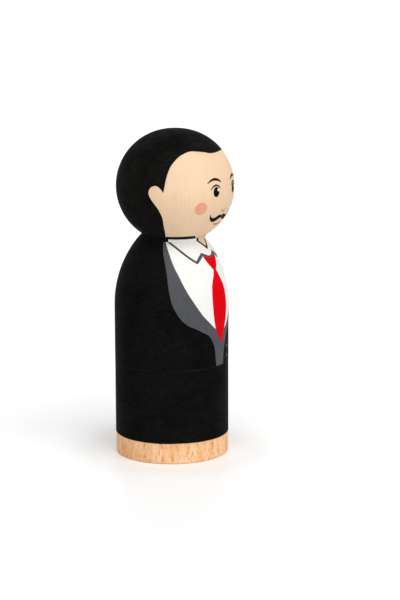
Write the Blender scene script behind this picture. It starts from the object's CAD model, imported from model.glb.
"""Wooden peg doll in a painted suit: a foot of bare beech, and brushed acrylic above it."""

import math

import bmesh
import bpy
from mathutils import Matrix, Vector, noise


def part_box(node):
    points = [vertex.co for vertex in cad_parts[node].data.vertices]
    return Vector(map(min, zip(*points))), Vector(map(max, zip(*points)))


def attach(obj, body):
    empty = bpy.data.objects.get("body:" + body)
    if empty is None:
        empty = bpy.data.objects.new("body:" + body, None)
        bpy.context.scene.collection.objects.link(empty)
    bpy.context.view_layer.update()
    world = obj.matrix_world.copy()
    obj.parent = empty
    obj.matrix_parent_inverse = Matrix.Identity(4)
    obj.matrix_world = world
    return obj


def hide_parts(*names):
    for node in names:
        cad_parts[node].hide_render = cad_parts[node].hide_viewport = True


MM = 0.001

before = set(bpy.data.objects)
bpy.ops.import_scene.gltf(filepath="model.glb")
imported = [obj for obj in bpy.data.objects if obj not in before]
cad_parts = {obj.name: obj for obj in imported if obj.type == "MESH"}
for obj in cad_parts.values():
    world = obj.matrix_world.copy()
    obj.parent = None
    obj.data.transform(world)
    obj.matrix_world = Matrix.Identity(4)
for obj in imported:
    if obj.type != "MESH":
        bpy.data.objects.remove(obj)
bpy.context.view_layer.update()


# Camera, as the photograph was taken: a long lens, a little above the doll's head

camera_data = bpy.data.cameras.new("Camera")
camera_data.sensor_width = 36
camera_data.lens = 132
camera_data.clip_start = 50 * MM
camera_data.clip_end = 50
camera = bpy.data.objects.new("Camera", camera_data)
bpy.context.scene.collection.objects.link(camera)
camera.location = Vector((-653.4, -392.6, 218.9)) * MM
bearing, tilt, roll = math.radians(59.76), math.radians(12.16), math.radians(-0.163)
looking = Vector((
    math.sin(bearing) * math.cos(tilt),
    math.cos(bearing) * math.cos(tilt),
    -math.sin(tilt),
))
camera.rotation_mode = "QUATERNION"
camera.rotation_quaternion = (
    looking.to_track_quat("-Z", "Y").to_matrix() @ Matrix.Rotation(roll, 3, "Z")
).to_quaternion()
bpy.context.scene.camera = camera
bpy.context.scene.view_settings.view_transform = "Standard"


# Materials. All patterns lie on Object coordinates, in metres.

class Finish:
    """A material, with short names for the nodes that its patterns need."""

    def __init__(self, name, roughness=0.6, specular=0.3):
        self.material = bpy.data.materials.new(name)
        self.material.use_nodes = True
        self.tree = self.material.node_tree
        self.shader = self.tree.nodes["Principled BSDF"]
        self.shader.inputs["Roughness"].default_value = roughness
        self.shader.inputs["Specular IOR Level"].default_value = specular
        self.coordinates = self.tree.nodes.new("ShaderNodeTexCoord")

    def put(self, socket, value):
        """Links a node's output to a socket, or sets the socket to a plain value."""
        if isinstance(value, bpy.types.NodeSocket):
            self.tree.links.new(value, socket)
        elif isinstance(value, tuple) and len(value) == 3 and socket.type == "RGBA":
            socket.default_value = (*value, 1)
        else:
            socket.default_value = value

    def place(self, centre=(0, 0, 0), stretch=(1, 1, 1), turn=(0, 0, 0)):
        """Object coordinates about centre, turned, and then scaled on each axis."""
        moved = self.tree.nodes.new("ShaderNodeMapping")
        moved.vector_type = "TEXTURE"
        self.put(moved.inputs["Vector"], self.coordinates.outputs["Object"])
        moved.inputs["Location"].default_value = centre
        moved.inputs["Rotation"].default_value = turn
        moved.inputs["Scale"].default_value = stretch
        return moved.outputs["Vector"]

    def parts(self, vector):
        """The X, Y and Z of a vector."""
        split = self.tree.nodes.new("ShaderNodeSeparateXYZ")
        self.put(split.inputs[0], vector)
        return split.outputs

    def circling(self, centre, radius, stretch, squeeze):
        """Coordinates for strokes that run in arcs round a line along X through centre.

        At the given radius a stroke is stretch times as long as it is broad, and along
        X it is drawn out by 1 / squeeze.
        """
        across, back, up = self.parts(self.place(centre=centre))
        distance = self.math("SQRT", self.math("ADD", self.math("MULTIPLY", back, back),
                                               self.math("MULTIPLY", up, up)))
        turn = self.math("MULTIPLY", self.math("ARCTAN2", up, back), radius / stretch)
        made = self.tree.nodes.new("ShaderNodeCombineXYZ")
        drawn = (self.math("MULTIPLY", across, squeeze), distance, turn)
        for socket, value in zip(made.inputs, drawn):
            self.put(socket, value)
        return made.outputs[0]

    def grain(self, size, detail=3.0, at=None, distortion=0.0):
        """Soft noise from 0 to 1 whose features are about size across."""
        made = self.tree.nodes.new("ShaderNodeTexNoise")
        self.put(made.inputs["Vector"], at or self.coordinates.outputs["Object"])
        made.inputs["Scale"].default_value = 1 / size
        made.inputs["Detail"].default_value = detail
        made.inputs["Distortion"].default_value = distortion
        return made.outputs["Fac"]

    def cells(self, size):
        """Distance to the middle of the nearest of many scattered cells, 0 at its middle."""
        made = self.tree.nodes.new("ShaderNodeTexVoronoi")
        self.put(made.inputs["Vector"], self.coordinates.outputs["Object"])
        made.inputs["Scale"].default_value = 1 / size
        return made.outputs["Distance"]

    def rings(self, spacing, at, distortion, detail_size):
        """Growth rings round the Z axis of the given place."""
        made = self.tree.nodes.new("ShaderNodeTexWave")
        made.wave_type = "RINGS"
        made.rings_direction = "Z"
        self.put(made.inputs["Vector"], at)
        made.inputs["Scale"].default_value = math.pi / 10 / spacing
        made.inputs["Distortion"].default_value = distortion
        made.inputs["Detail"].default_value = 2
        made.inputs["Detail Scale"].default_value = spacing / detail_size
        return made.outputs["Fac"]

    def ramp(self, value, low, high, to_low=0.0, to_high=1.0):
        """Maps low..high of a value smoothly to to_low..to_high."""
        made = self.tree.nodes.new("ShaderNodeMapRange")
        made.interpolation_type = "SMOOTHSTEP"
        self.put(made.inputs["Value"], value)
        made.inputs["From Min"].default_value = low
        made.inputs["From Max"].default_value = high
        made.inputs["To Min"].default_value = to_low
        made.inputs["To Max"].default_value = to_high
        return made.outputs["Result"]

    def math(self, kind, *values):
        made = self.tree.nodes.new("ShaderNodeMath")
        made.operation = kind
        for socket, value in zip(made.inputs, values):
            self.put(socket, value)
        return made.outputs[0]

    def blend(self, amount, a, b):
        """Colour that goes from a to b as amount goes from 0 to 1."""
        made = self.tree.nodes.new("ShaderNodeMix")
        made.data_type = "RGBA"
        self.put(made.inputs["Factor"], amount)
        self.put(made.inputs["A"], a)
        self.put(made.inputs["B"], b)
        return made.outputs["Result"]

    def colour(self, value):
        self.put(self.shader.inputs["Base Color"], value)

    def roughness(self, value):
        self.put(self.shader.inputs["Roughness"], value)

    def relief(self, height, depth):
        """Bumps of the given depth where height goes from 0 to 1."""
        made = self.tree.nodes.new("ShaderNodeBump")
        made.inputs["Strength"].default_value = 1
        made.inputs["Distance"].default_value = depth
        self.put(made.inputs["Height"], height)
        self.put(self.shader.inputs["Normal"], made.outputs["Normal"])


# Sizes of the wood's figure, where the tree's middle lay, and the wood's colours

FIBRE_SIZE = 0.00035
RING_SPACING = 0.0031
RING_WAVER = 0.004
PATCH_SIZE = 0.005
LONG_FLECK = 0.00058
SHORT_FLECK = 0.0004
PALE_STREAK = 0.0013
PORE_SIZE = 0.00022
PITH = (0.034, -0.021, 0)
BEECH_DARK, BEECH_LIGHT = (0.88, 0.49, 0.225), (1, 0.67, 0.405)
LATE_WOOD, FIBRE_BROWN = (0.8, 0.4, 0.17), (0.78, 0.38, 0.15)
STREAK_CREAM, FLECK_BROWN = (1, 0.74, 0.5), (0.62, 0.21, 0.045)
SAWN_LIGHT, SAWN_DARK, PORE_BROWN = (0.6, 0.31, 0.13), (0.4, 0.18, 0.068), (0.22, 0.09, 0.03)


def beech():
    """Turned beech with its grain upright: fibres, growth rings and ray flecks.

    Faces that look up or down are sawn across the grain and browner.
    """
    wood = Finish("beech_wood", specular=0.2)
    trunk = wood.place(centre=PITH, stretch=(1, 1, 9))
    rings = wood.rings(RING_SPACING, trunk, 1.6, RING_WAVER)
    fibres = wood.grain(FIBRE_SIZE, 3, wood.place(stretch=(1, 1, 12)))
    patches = wood.grain(PATCH_SIZE, 2, wood.place(stretch=(1, 1, 2.5)))
    long_flecks = wood.grain(LONG_FLECK, 1, wood.place(stretch=(1, 1, 4.5)))
    short_flecks = wood.grain(SHORT_FLECK, 1, wood.place(centre=(0.01, 0, 0), stretch=(1, 1, 3.4)))
    long_flecks = wood.ramp(long_flecks, 0.6, 0.7)
    short_flecks = wood.ramp(short_flecks, 0.6, 0.7)
    pale = wood.grain(PALE_STREAK, 2, wood.place(centre=(0, 0.02, 0), stretch=(1, 1, 7)))
    pale = wood.ramp(pale, 0.5, 0.66)
    flecks = wood.math("MAXIMUM", long_flecks, wood.math("MULTIPLY", short_flecks, 0.7))
    turned_tone = wood.blend(wood.ramp(patches, 0.34, 0.66), BEECH_DARK, BEECH_LIGHT)
    turned_tone = wood.blend(wood.ramp(rings, 0.55, 1, 0, 0.25), turned_tone, LATE_WOOD)
    turned_tone = wood.blend(wood.ramp(fibres, 0.35, 0.75, 0.3, 0), turned_tone, FIBRE_BROWN)
    turned_tone = wood.blend(wood.math("MULTIPLY", pale, 0.3), turned_tone, STREAK_CREAM)
    turned_tone = wood.blend(wood.math("MULTIPLY", flecks, 0.8), turned_tone, FLECK_BROWN)
    pores = wood.ramp(wood.cells(PORE_SIZE), 0.1, 0.45, 0.35, 0)
    sawn_tone = wood.blend(wood.ramp(rings, 0.45, 1, 0, 0.7), SAWN_LIGHT, SAWN_DARK)
    sawn_tone = wood.blend(pores, sawn_tone, PORE_BROWN)
    facing_up = wood.math("ABSOLUTE", wood.parts(wood.coordinates.outputs["Normal"])["Z"])
    wood.colour(wood.blend(wood.ramp(facing_up, 0.6, 0.95), turned_tone, sawn_tone))
    wood.roughness(wood.ramp(fibres, 0.3, 0.7, 0.62, 0.48))
    wood.relief(wood.math("SUBTRACT", fibres, wood.math("MULTIPLY", flecks, 0.8)), 0.00004)
    return wood.material


def upright_strokes(made):
    """Long strokes up and down, as on the shirt, the lapels and the tie."""
    return made.place(stretch=(1, 1, 9))


def crossed_strokes(made):
    """Strokes round the doll, a little aslant, as the brush goes over a broad area."""
    return made.place(stretch=(3.2, 3.2, 1), turn=(0.1, -0.06, 0))


def short_strokes(made):
    """Short strokes, as in a drawn line or a small spot."""
    return made.place(stretch=(1, 1, 2))


def hair_strokes(made):
    """Strokes that run over the head from the brow to the nape, as hair is combed."""
    return made.circling(centre=(0, -0.009, 0.094), radius=0.02, stretch=7, squeeze=0.3)


# Sizes of what shows in the paint, and the pale line along a hem

WASH_SIZE = 0.011
GRIT_SIZE = 0.00022
HEM_GREY = (0.026, 0.025, 0.024)
HEM_LOW, HEM_HIGH = 0.0001, 0.00028
HEM_BREAKS = 0.006


def paint(name, dark, light, strokes, across=0.0005, depth=0.00002, rough=(0.5, 0.68),
          specular=0.1, streaks=0.5, hem=None):
    """Matte acrylic: strokes of the brush show a little in its tone, its sheen and its relief.

    Along a hem at a given height the paint has dried thin and pale.
    """
    made = Finish(name, specular=specular)
    way = strokes(made)
    hairs = made.grain(across, 4, way, 0.3)
    lanes = made.grain(across * 4, 3, way)
    washes = made.grain(WASH_SIZE, 3)
    tone = made.blend(made.ramp(washes, 0.3, 0.7, 0.25, 0.7), dark, light)
    tone = made.blend(made.ramp(lanes, 0.36, 0.7, 0, 0.5 * streaks), tone, light)
    tone = made.blend(made.ramp(hairs, 0.34, 0.62, streaks, 0), tone, dark)
    if hem:
        above = made.math("SUBTRACT", made.parts(made.coordinates.outputs["Object"])["Z"], hem)
        broken = made.ramp(made.grain(HEM_BREAKS, 2), 0.35, 0.65)
        edge = made.math("MULTIPLY", made.ramp(above, HEM_LOW, HEM_HIGH, 1, 0), broken)
        tone = made.blend(edge, tone, HEM_GREY)
    made.colour(tone)
    smoothest, roughest = rough
    made.roughness(made.ramp(hairs, 0.3, 0.7, roughest, smoothest))
    grit = made.math("MULTIPLY", made.grain(GRIT_SIZE, 2), 0.5)
    made.relief(made.math("ADD", made.math("ADD", hairs, grit), lanes), depth)
    return made.material


SUIT_PAINT = {
    "dark": (0.0012, 0.0012, 0.0013), "light": (0.0092, 0.009, 0.009), "strokes": crossed_strokes,
    "across": 0.0004, "depth": 0.00003, "rough": (0.56, 0.72), "specular": 0.015, "streaks": 0.6,
}

beech_wood = beech()
suit_black = paint("suit_black", **SUIT_PAINT)
coat_black = paint("coat_black", **SUIT_PAINT, hem=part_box("coat_paint")[0].z)
hair_black = paint("hair_black", (0.0012, 0.0011, 0.0011), (0.0128, 0.0121, 0.0111), hair_strokes,
                   depth=0.00003, rough=(0.66, 0.82), specular=0.02)
liner_black = paint("liner_black", (0.002, 0.002, 0.0022), (0.005, 0.005, 0.0054), short_strokes,
                    specular=0.03)
liner_grey = paint("liner_grey", (0.06, 0.062, 0.068), (0.085, 0.088, 0.095), short_strokes)
lapel_grey = paint("lapel_grey", (0.07, 0.073, 0.081), (0.1, 0.103, 0.112), upright_strokes,
                   specular=0.06)
button_grey = paint("button_grey", (0.06, 0.063, 0.07), (0.09, 0.093, 0.1), short_strokes)
shirt_white = paint("shirt_white", (0.86, 0.855, 0.82), (0.92, 0.915, 0.885), upright_strokes,
                    streaks=0.3)
tie_red = paint("tie_red", (0.66, 0.0015, 0.0055), (0.82, 0.0035, 0.01), upright_strokes,
                rough=(0.7, 0.85), specular=0.01)
skin_peach = paint("skin_peach", (0.83, 0.58, 0.37), (0.915, 0.68, 0.475), upright_strokes,
                   across=0.0009, streaks=0.35)
nose_brown = paint("nose_brown", (0.5, 0.25, 0.14), (0.6, 0.33, 0.2), short_strokes)
lip_rose = paint("lip_rose", (0.5, 0.1, 0.07), (0.62, 0.16, 0.11), short_strokes)
cheek_coral = paint("cheek_coral", (0.82, 0.32, 0.2), (0.88, 0.43, 0.29), short_strokes)
highlight_white = paint("highlight_white", (0.84, 0.84, 0.82), (0.9, 0.9, 0.89), short_strokes)


# Turned wood and the paint that goes all round it, spun from half sections

body_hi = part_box("body_peg")[1]
body_r = body_hi.x
neck_z = body_hi.z
shoulder_z = 53.5 * MM
neck_r = 10.9 * MM
bore_r = 4.05 * MM
bore_depth = 21 * MM
shoulder_r = ((body_r - neck_r) ** 2 + (neck_z - shoulder_z) ** 2) / (2 * (body_r - neck_r))
hem_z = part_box("coat_paint")[0].z
bare_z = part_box("trousers_paint")[0].z

SAME_POINT = 0.001 * MM
PLACE_DIGITS = 7
SHARP_DEGREES = 40
WAVES = 2.2
BODY_STEPS, PAINT_STEPS = 180, 240


def start(bm, r, z):
    """Begins a half section at radius r and height z."""
    return bm.verts.new((r, 0, z))


def line_to(bm, last, r, z, parts=1):
    """Draws on in a half section, straight to radius r and height z."""
    begin, end = last.co.copy(), Vector((r, 0, z))
    for i in range(parts):
        following = bm.verts.new(begin.lerp(end, (i + 1) / parts))
        bm.edges.new((last, following))
        last = following
    return last


def arc_to(bm, last, r, z, degrees, steps):
    """Draws on in a half section, round the point at radius r and height z."""
    made = bmesh.ops.spin(
        bm, geom=[last], cent=(r, 0, z), axis=(0, 1, 0), angle=math.radians(degrees), steps=steps,
        use_merge=False, use_normal_flip=False, use_duplicate=False,
    )
    return [part for part in made["geom_last"] if isinstance(part, bmesh.types.BMVert)][0]


def in_order(elements, middle):
    """Puts a mesh's elements in the order of their places, so that each run writes the same file."""
    ranked = sorted(elements, key=lambda part: tuple(round(c, PLACE_DIGITS) for c in middle(part)))
    for rank, part in enumerate(ranked):
        part.index = rank
    elements.sort()


def turned(bm, steps):
    """Spins the drawn half section into a closed piece and closes its poles."""
    bmesh.ops.remove_doubles(bm, verts=bm.verts, dist=SAME_POINT)
    bmesh.ops.spin(
        bm, geom=bm.verts[:] + bm.edges[:], cent=(0, 0, 0), axis=(0, 0, 1), angle=math.tau,
        steps=steps, use_merge=True, use_normal_flip=False, use_duplicate=False,
    )
    bmesh.ops.remove_doubles(bm, verts=bm.verts, dist=SAME_POINT)
    bmesh.ops.recalc_face_normals(bm, faces=bm.faces)
    in_order(bm.verts, lambda vert: vert.co)
    in_order(bm.edges, lambda edge: (edge.verts[0].co + edge.verts[1].co) / 2)
    in_order(bm.faces, lambda face: face.calc_center_median())


def piece(bm, name, material, replaced):
    """Makes a piece of a finished mesh, riding on the doll in place of a CAD node."""
    for face in bm.faces:
        face.smooth = True
    for edge in bm.edges:
        if edge.is_manifold and edge.calc_face_angle(0) > math.radians(SHARP_DEGREES):
            edge.smooth = False
    mesh = bpy.data.meshes.new(name)
    bm.to_mesh(mesh)
    bm.free()
    mesh.materials.append(material)
    made = bpy.data.objects.new(name, mesh)
    bpy.context.scene.collection.objects.link(made)
    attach(made, "root")
    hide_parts(replaced)


def shoulder_turn(skin, z):
    """Degrees round the shoulder's arc to height z, on a surface grown outward by skin."""
    return math.degrees(math.asin((z - shoulder_z) / (shoulder_r + skin)))


def wander(angle, amount, seed):
    """A hand's small unsteadiness round the doll, the same on every run."""
    around = Vector((math.cos(angle) * WAVES, math.sin(angle) * WAVES, seed))
    return amount * noise.noise(around)


def turned_body():
    """The turned peg, with the edge of its foot rubbed round and the dowel's bore from the top."""
    bm = bmesh.new()
    edge = 0.55 * MM
    point = start(bm, 0, 0)
    point = line_to(bm, point, body_r - edge, 0, 12)
    point = arc_to(bm, point, body_r - edge, edge, -90, 5)
    point = line_to(bm, point, body_r, shoulder_z, 20)
    point = arc_to(bm, point, body_r - shoulder_r, shoulder_z, -shoulder_turn(0, neck_z), 16)
    point = line_to(bm, point, bore_r, neck_z, 3)
    point = line_to(bm, point, bore_r, neck_z - bore_depth, 4)
    line_to(bm, point, 0, neck_z - bore_depth)
    turned(bm, BODY_STEPS)
    piece(bm, "turned_body", beech_wood, "body_peg")


def trousers():
    """The lower coat of black, with the edge that the brush left above the bare foot."""
    bm = bmesh.new()
    thick, lip = 0.15 * MM, 0.07 * MM
    reach, broad, narrow = 3 * MM, 0.22 * MM, 0.08 * MM
    first = start(bm, body_r, bare_z)
    point = line_to(bm, first, body_r + thick - lip, bare_z)
    point = arc_to(bm, point, body_r + thick - lip, bare_z + lip, -90, 3)
    point = line_to(bm, point, body_r + thick, hem_z, 14)
    point = line_to(bm, point, body_r, hem_z)
    point = line_to(bm, point, body_r, bare_z + lip, 4)
    bm.edges.new((point, first))
    turned(bm, PAINT_STEPS)
    for vert in bm.verts:
        nearness = max(0.0, 1 - (vert.co.z - bare_z) / reach)
        if nearness:
            angle = math.atan2(vert.co.y, vert.co.x)
            drift = wander(angle, broad, 3) + wander(angle, narrow, 14)
            vert.co.z = max(vert.co.z + nearness * drift, bare_z)
    piece(bm, "trousers", suit_black, "trousers_paint")


def coat():
    """The upper coat of black, whose hem stands up as a low ridge where the brush was lifted."""
    bm = bmesh.new()
    thick, lip, ridge = 0.15 * MM, 0.06 * MM, 0.04 * MM
    outer = body_r + thick + ridge
    first = start(bm, body_r, hem_z)
    point = line_to(bm, first, outer - lip, hem_z)
    point = arc_to(bm, point, outer - lip, hem_z + lip, -90, 3)
    point = line_to(bm, point, outer, hem_z + 3 * lip)
    point = line_to(bm, point, body_r + thick, hem_z + 7 * lip, 2)
    point = line_to(bm, point, outer, hem_z + 40 * lip, 8)
    point = line_to(bm, point, outer, shoulder_z, 8)
    turn = -shoulder_turn(thick + ridge, neck_z)
    point = arc_to(bm, point, body_r - shoulder_r, shoulder_z, turn, 20)
    point = line_to(bm, point, neck_r, neck_z)
    point = arc_to(bm, point, body_r - shoulder_r, shoulder_z, shoulder_turn(0, neck_z), 20)
    point = line_to(bm, point, body_r, hem_z + lip, 6)
    bm.edges.new((point, first))
    turned(bm, PAINT_STEPS)
    piece(bm, "coat", coat_black, "coat_paint")


turned_body()
trousers()
coat()


# Drawn paint keeps its solids and gets its finish

FINISHES = {
    beech_wood: ("head_ball", "neck_dowel"),
    suit_black: ("neck_line",),
    hair_black: ("hair_paint",),
    lapel_grey: ("lapel_paint",),
    button_grey: ("coat_buttons",),
    liner_grey: ("collar_lines",),
    liner_black: ("throat_lines", "neck_stroke", "eyebrows", "eyes", "eyelids", "moustache"),
    shirt_white: ("shirt_paint", "collar_bead", "collar_stand"),
    tie_red: ("tie_knot", "tie_blade"),
    skin_peach: ("throat_paint", "throat_bead", "skin_paint"),
    highlight_white: ("eye_glints",),
    nose_brown: ("nose_line",),
    lip_rose: ("mouth_line",),
    cheek_coral: ("cheeks",),
}
for finish, nodes in FINISHES.items():
    for node in nodes:
        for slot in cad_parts[node].material_slots:
            slot.material = finish


# Floor, light and backdrop. The floor glows less close by the foot, where its shadow is deepest.

FLOOR_GLOW, CONTACT_GLOW = 0.24, 0.11
CONTACT_REACH = 26 * MM
FLOOR_RADIUS = 6
FLOOR_GAP = 0.02 * MM


def floor():
    """A pale floor that shows white and keeps the doll's shadow."""
    made = Finish("studio_floor", roughness=0.42, specular=0.3)
    made.colour((0.9, 0.9, 0.9))
    rays = made.tree.nodes.new("ShaderNodeLightPath")
    seen = made.math("MAXIMUM", rays.outputs["Is Camera Ray"], rays.outputs["Is Glossy Ray"])
    length = made.tree.nodes.new("ShaderNodeVectorMath")
    length.operation = "LENGTH"
    made.put(length.inputs[0], made.coordinates.outputs["Object"])
    away, far = length.outputs["Value"], body_r + CONTACT_REACH
    level = made.ramp(away, body_r, far, CONTACT_GLOW, FLOOR_GLOW)
    glow = made.tree.nodes.new("ShaderNodeEmission")
    made.put(glow.inputs["Strength"], made.math("MULTIPLY", seen, level))
    both = made.tree.nodes.new("ShaderNodeAddShader")
    made.put(both.inputs[0], made.shader.outputs[0])
    made.put(both.inputs[1], glow.outputs[0])
    made.put(made.tree.nodes["Material Output"].inputs["Surface"], both.outputs[0])
    bm = bmesh.new()
    bmesh.ops.create_circle(bm, cap_ends=True, segments=64, radius=FLOOR_RADIUS)
    bmesh.ops.translate(bm, verts=bm.verts, vec=(0, 0, -FLOOR_GAP))
    mesh = bpy.data.meshes.new("studio_floor")
    bm.to_mesh(mesh)
    bm.free()
    mesh.materials.append(made.material)
    table = bpy.data.objects.new("studio_floor", mesh)
    bpy.context.scene.collection.objects.link(table)


def backdrop(fill):
    """White where it is seen, and an even fill light of the given level."""
    world = bpy.data.worlds.new("backdrop")
    bpy.context.scene.world = world
    world.use_nodes = True
    tree = world.node_tree
    background = tree.nodes["Background"]
    background.inputs["Color"].default_value = (1, 1, 1, 1)
    rays = tree.nodes.new("ShaderNodeLightPath")
    last = rays.outputs["Is Camera Ray"]
    for other in ("Is Glossy Ray", "Is Transmission Ray"):
        either = tree.nodes.new("ShaderNodeMath")
        either.operation = "MAXIMUM"
        tree.links.new(last, either.inputs[0])
        tree.links.new(rays.outputs[other], either.inputs[1])
        last = either.outputs[0]
    level = tree.nodes.new("ShaderNodeMapRange")
    tree.links.new(last, level.inputs["Value"])
    level.inputs["To Min"].default_value = fill
    level.inputs["To Max"].default_value = 1
    tree.links.new(level.outputs["Result"], background.inputs["Strength"])


def softbox(name, azimuth, elevation, level, spread):
    """A broad soft light; at level 1 it shows a colour that faces it as it is written."""
    data = bpy.data.lights.new(name, "SUN")
    data.energy = level * math.pi
    data.angle = math.radians(spread)
    lamp = bpy.data.objects.new(name, data)
    bpy.context.scene.collection.objects.link(lamp)
    side, rise = math.radians(azimuth), math.radians(elevation)
    toward = Vector((
        math.sin(side) * math.cos(rise),
        -math.cos(side) * math.cos(rise),
        math.sin(rise),
    ))
    lamp.rotation_mode = "QUATERNION"
    lamp.rotation_quaternion = toward.to_track_quat("Z", "Y")


floor()
backdrop(fill=0.43)
softbox("key_light", azimuth=345, elevation=43, level=0.385, spread=50)
softbox("top_light", azimuth=292, elevation=61, level=0.21, spread=40)
softbox("front_light", azimuth=301, elevation=15, level=0.12, spread=60)
